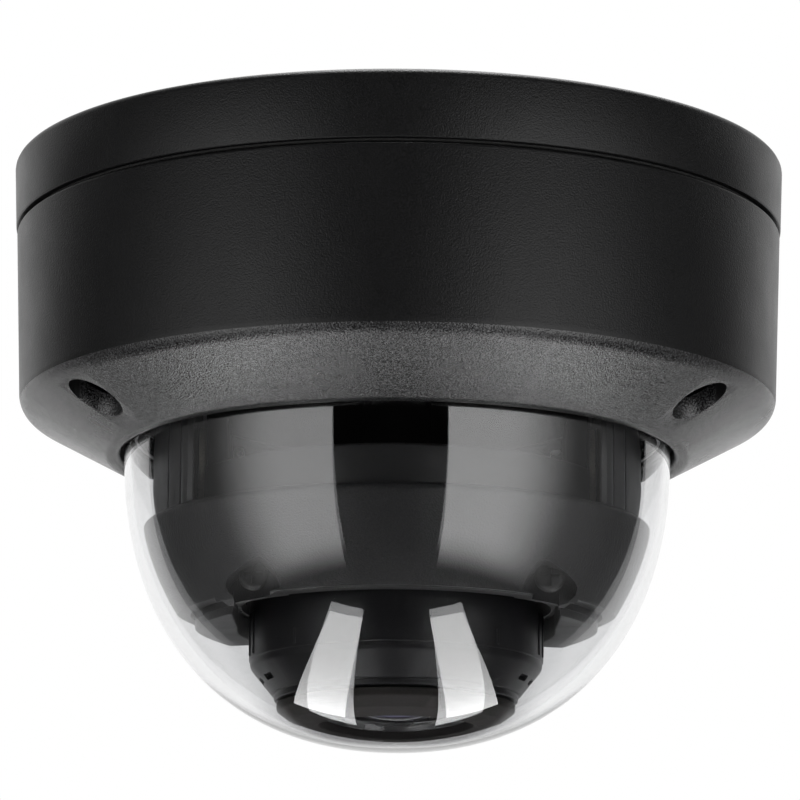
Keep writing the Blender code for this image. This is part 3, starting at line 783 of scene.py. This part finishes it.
# Lens turret
def make_turret():
    skin_r = TURRET_R - 0.2
    turret = lathe("turret_shell", rounded([
        (25.1, -62.0, 0.2), (25.1, -63.5, 0.2), (TURRET_R, -63.5), (TURRET_R, -78.6, 0.15),
        (skin_r, -78.75, 0.05), (skin_r, -79.6, 1.2), (SHOULDER_R + 0.4, -83.4, 0.4),
        (SHOULDER_R, -83.5, 0.1), (SHOULDER_R, -84.4, 0.3), (15.2, -84.4, 0.3), (15.2, -82.4),
        (17.5, -82.4), (20.9, -78.6), (20.9, -62.0),
    ], steps=4), segments=HOUSING_SEGMENTS)
    cutters = []
    for degrees in (187, 202, 338, 353):
        low, high = (19.6, -1.5, -82.0), (24.0, 1.5, -81.2)
        cutters.append(block("vent", low, high, math.radians(degrees), bevel=0.2))
    cut(turret, *cutters)
    dress(turret, "turret", "turret", "turret_housing")
    for side, degrees in (("left", 228), ("right", 312)):
        low, high = (skin_r, -0.25, -78.2), (TURRET_R + 0.12, 0.25, -76.0)
        tick = block(f"index_{side}", low, high, math.radians(degrees), bevel=0.1)
        dress(tick, "turret", "turret")
    ribs = []
    for degrees in (190, 197, 343, 350):
        low, high = (TURRET_R - 0.3, -0.3, -78.2), (TURRET_R + 0.2, 0.3, -72.0)
        ribs.append(block("rib", low, high, math.radians(degrees), bevel=0.15))
    join(*ribs)
    ribs[0].name = "turret_ribs"
    dress(ribs[0], "turret", "turret")
    shield = lathe("light_shield", rounded([
        (14.8, -81.6), (14.8, -84.7), (18.5, -84.7, 0.3), (18.4, -85.9, 0.6), (16.4, -87.3, 0.6),
        (13.0, -88.2, 0.6), (12.0, -87.7, 0.3), (12.0, -81.6),
    ]))
    dress(shield, "turret", "shield", "lens_shield")
    barrel = lathe("lens_mount", rounded([
        (6.9, -71.3, 0.2), (6.9, -76.3), (9.6, -76.3, 0.3), (9.6, -82.6), (11.6, -82.6, 0.3),
        (11.6, -86.4, 0.5), (10.9, -86.4, 0.2), (10.3, -85.7, 0.2), (9.3, -85.5, 0.2), (9.3, -84.2),
        (4.1, -84.2, 0.2), (4.1, -71.3, 0.2),
    ]))
    dress(barrel, "turret", "barrel", "lens_barrel")
    front = lathe("front_element", [
        (0, -84.5), (8.8, -84.5), (8.9, -84.6), (8.9, -84.9), *arc(20.0, -64.0, -86, 12, (0, -66.6)),
        (0, -86.6),
    ], closed=False)
    dress(front, "turret", "glass", "front_lens")
    rear = lathe("rear_element", [
        *reversed(arc(8.0, 62, 85, 5, (0, -79.6))), (3.7, -72.7), (3.7, -74.4),
        *arc(9.0, -68, -85, 5, (0, -66.0)), (0, -75.0),
    ], closed=False, segments=FINE)
    dress(rear, "turret", "glass", "rear_lens")
    cap = lathe("turret_back", rounded([
        (21.0, -62.2, 0.2), (21.0, -63.7, 0.2), (4.0, -63.7, 0.4), (4.0, -62.2, 0.4),
    ]))
    dress(cap, "turret", "chassis", "turret_cap")
    holder = lathe("holder", rounded([
        (10.5, -67.7, 0.3), (10.5, -76.0, 0.5), (7.3, -76.0, 0.2), (7.3, -67.7, 0.2),
    ]), segments=FINE)
    dress(holder, "turret", "chassis", "lens_holder")
    board = rod("sensor_circuit", 20.0, -67.4, -66.0, segments=96)
    dress(board, "turret", "board", "sensor_board")


# Nodes whose shape is right keep it and get a finer material
KEPT = {
    "main_board": "board", "processor": "chip", "memory_card_slot": "steel", "cable_connector": "ivory",
    "reset_switch": "chip", "reset_button": "ivory", "image_sensor": "glass", "infrared_filter": "glass",
    "filter_switcher": "chip", "board_screw_left": "steel", "board_screw_front": "steel",
    "board_screw_right": "steel", "pan_ring_screw_left": "steel", "pan_ring_screw_right": "steel",
}


def finish_kept():
    for node, finish in KEPT.items():
        nodes[node].data.materials.clear()
        nodes[node].data.materials.append(FINISHES[finish])


# Room: pale floor, soft panels at the sides, strips below and a bright backdrop
FLOOR_Z = -3000.0
FLOOR_HALF = 9000.0
PANEL_DISTANCE = 720.0
PANEL_LOW, PANEL_HIGH = TILT_Z - 620, TILT_Z + 270
PANEL_TAIL = 0.1
STRIP_DROP = 520.0
STRIP_CORNERS = ((0.235, -0.48), (0.495, -0.48), (0.495, 0.97), (0.215, 0.97))
WHITE = (1, 1, 1, 1)


def maths(tree, operation, *values):
    """The result of a Math node on other nodes' outputs."""
    node = tree.nodes.new("ShaderNodeMath")
    node.operation = operation
    for value, socket in zip(values, node.inputs):
        tree.links.new(value, socket)
    return node.outputs[0]


def ramp(tree, value, low, high, first, last):
    """A smooth change from first to last while a value goes from low to high."""
    node = tree.nodes.new("ShaderNodeMapRange")
    node.interpolation_type = "SMOOTHSTEP"
    for socket, number in zip(("From Min", "From Max", "To Min", "To Max"), (low, high, first, last)):
        node.inputs[socket].default_value = number
    tree.links.new(value, node.inputs["Value"])
    return node.outputs["Result"]


def glow(name, build, strength, inner=None, outer=None):
    """A soft panel. With inner and outer, its light falls between them across its width, and at its ends."""
    panel = new_piece(name, build)
    made = bpy.data.materials.new(name)
    made.use_nodes = True
    tree = made.node_tree
    tree.nodes.clear()
    output = tree.nodes.new("ShaderNodeOutputMaterial")
    light = tree.nodes.new("ShaderNodeEmission")
    light.inputs["Strength"].default_value = strength
    tree.links.new(light.outputs[0], output.inputs["Surface"])
    if outer is not None:
        place = tree.nodes.new("ShaderNodeTexCoord")
        split = tree.nodes.new("ShaderNodeSeparateXYZ")
        tree.links.new(place.outputs["UV"], split.inputs[0])
        across, up = split.outputs["X"], split.outputs["Y"]
        level = ramp(tree, across, inner, outer, strength, PANEL_TAIL * strength)
        for value, full, dark in ((up, 0.22, 0.0), (up, 0.8, 1.0), (across, 0.5, 1.0)):
            level = maths(tree, "MULTIPLY", level, ramp(tree, value, full, dark, 1.0, 0.0))
        tree.links.new(level, light.inputs["Strength"])
    panel.data.materials.append(made)
    panel.visible_camera = False
    return panel


def curved(sign, start, end, steps=24):
    """Part of an upright cylinder round the object, from one angle off the front to another."""

    def build(bm):
        uv = bm.loops.layers.uv.new("UVMap")
        rows = []
        for k in range(steps + 1):
            angle = math.radians(start + (end - start) * k / steps)
            x, y = sign * PANEL_DISTANCE * math.sin(angle), -PANEL_DISTANCE * math.cos(angle)
            rows.append([bm.verts.new((x, y, z)) for z in (PANEL_LOW, PANEL_HIGH)])
        for k in range(steps):
            face = bm.faces.new((rows[k][0], rows[k + 1][0], rows[k + 1][1], rows[k][1]))
            for loop, where in zip(face.loops, ((k, 0), (k + 1, 0), (k + 1, 1), (k, 1))):
                loop[uv].uv = (where[0] / steps, where[1])

    return build


def flat(corners):
    """A level four-cornered panel from its corners."""

    def build(bm):
        bm.faces.new([bm.verts.new(corner) for corner in corners])

    return build


def make_floor():
    half = FLOOR_HALF
    floor = new_piece("floor", flat([(-half, -half, 0), (half, -half, 0), (half, half, 0), (-half, half, 0)]))
    floor.location = (0, 0, FLOOR_Z * MM)
    floor.visible_glossy = False
    floor.visible_transmission = False
    pale = bpy.data.materials.new("floor")
    pale.use_nodes = True
    shader = pale.node_tree.nodes["Principled BSDF"]
    shader.inputs["Base Color"].default_value = (0.8, 0.8, 0.8, 1)
    shader.inputs["Roughness"].default_value = 0.9
    floor.data.materials.append(pale)


def make_lights():
    """Panels and strips that the dome mirrors, a soft lamp overhead, and a sun for the floor."""
    for sign, side, start, strength in ((-1, "left", 26.0, 2.7), (1, "right", 20.5, 3.2)):
        glow(f"soft_panel_{side}", curved(sign, start, 125.0), strength, 0.22, 0.58)
        corners = [(sign * x * STRIP_DROP, y * STRIP_DROP, TILT_Z - STRIP_DROP) for x, y in STRIP_CORNERS]
        strip = glow(f"strip_{side}", flat(corners), 5.9)
        strip.visible_diffuse = False
    lamp = bpy.data.lights.new("overhead", "AREA")
    lamp.size = 1.2
    lamp.energy = 14
    over = bpy.data.objects.new("overhead", lamp)
    over.location = (0.2, 0.5, 1.3)
    scene.collection.objects.link(over)
    over.rotation_euler = (-over.location).to_track_quat("-Z", "Y").to_euler()
    sun = bpy.data.lights.new("sun", "SUN")
    sun.energy = 3.2
    sun.angle = 0.6
    scene.collection.objects.link(bpy.data.objects.new("sun", sun))


def make_world():
    """White where the camera sees it; for light and mirroring, bright only behind and above the object."""
    world = bpy.data.worlds.new("studio")
    scene.world = world
    world.use_nodes = True
    tree = world.node_tree
    tree.nodes.clear()
    output = tree.nodes.new("ShaderNodeOutputWorld")
    seen = tree.nodes.new("ShaderNodeBackground")
    seen.inputs["Strength"].default_value = 1.0
    seen.inputs["Color"].default_value = WHITE
    lit = tree.nodes.new("ShaderNodeBackground")
    lit.inputs["Color"].default_value = WHITE
    where = tree.nodes.new("ShaderNodeTexCoord")
    split = tree.nodes.new("ShaderNodeSeparateXYZ")
    tree.links.new(where.outputs["Generated"], split.inputs[0])
    x, y, z = (split.outputs[axis] for axis in "XYZ")
    sideways = ramp(tree, maths(tree, "ABSOLUTE", x), 0.12, 0.5, 0.0, 0.33)
    above = ramp(tree, maths(tree, "ADD", z, sideways), -0.32, -0.12, 0.01, 1.0)
    behind = ramp(tree, y, 0.1, 0.7, 0.01, 1.0)
    tree.links.new(maths(tree, "MULTIPLY", above, behind), lit.inputs["Strength"])
    path = tree.nodes.new("ShaderNodeLightPath")
    mix = tree.nodes.new("ShaderNodeMixShader")
    tree.links.new(path.outputs["Is Camera Ray"], mix.inputs["Fac"])
    tree.links.new(lit.outputs[0], mix.inputs[1])
    tree.links.new(seen.outputs[0], mix.inputs[2])
    tree.links.new(mix.outputs[0], output.inputs["Surface"])
    scene.view_settings.view_transform = "Standard"


# Camera: where the photo was taken from
CAMERA_AIM_Z = TILT_Z + 5
CAMERA_DISTANCE = 805.8
CAMERA_RISE = 11.87
CAMERA_ROLL = 0.32
CAMERA_LENS = 231.0
CAMERA_SHIFT = (0.0034, 0.0634)


def make_camera():
    rise = math.radians(CAMERA_RISE)
    data = bpy.data.cameras.new("camera")
    data.sensor_width = 36
    data.lens = CAMERA_LENS
    data.shift_x, data.shift_y = CAMERA_SHIFT
    data.clip_start = 0.01
    camera = bpy.data.objects.new("camera", data)
    scene.collection.objects.link(camera)
    back, down = CAMERA_DISTANCE * math.cos(rise), CAMERA_DISTANCE * math.sin(rise)
    place = Vector((0, -back, CAMERA_AIM_Z - down)) * MM
    roll = Matrix.Rotation(math.radians(CAMERA_ROLL), 4, "Z")
    camera.matrix_world = Matrix.Translation(place) @ Matrix.Rotation(math.pi / 2 + rise, 4, "X") @ roll
    scene.camera = camera


make_camera()
make_floor()
make_lights()
make_world()
make_base()
make_cover()
make_dome()
make_cover_screws()
make_chassis()
make_tilt()
make_bowl()
make_turret()
finish_kept()
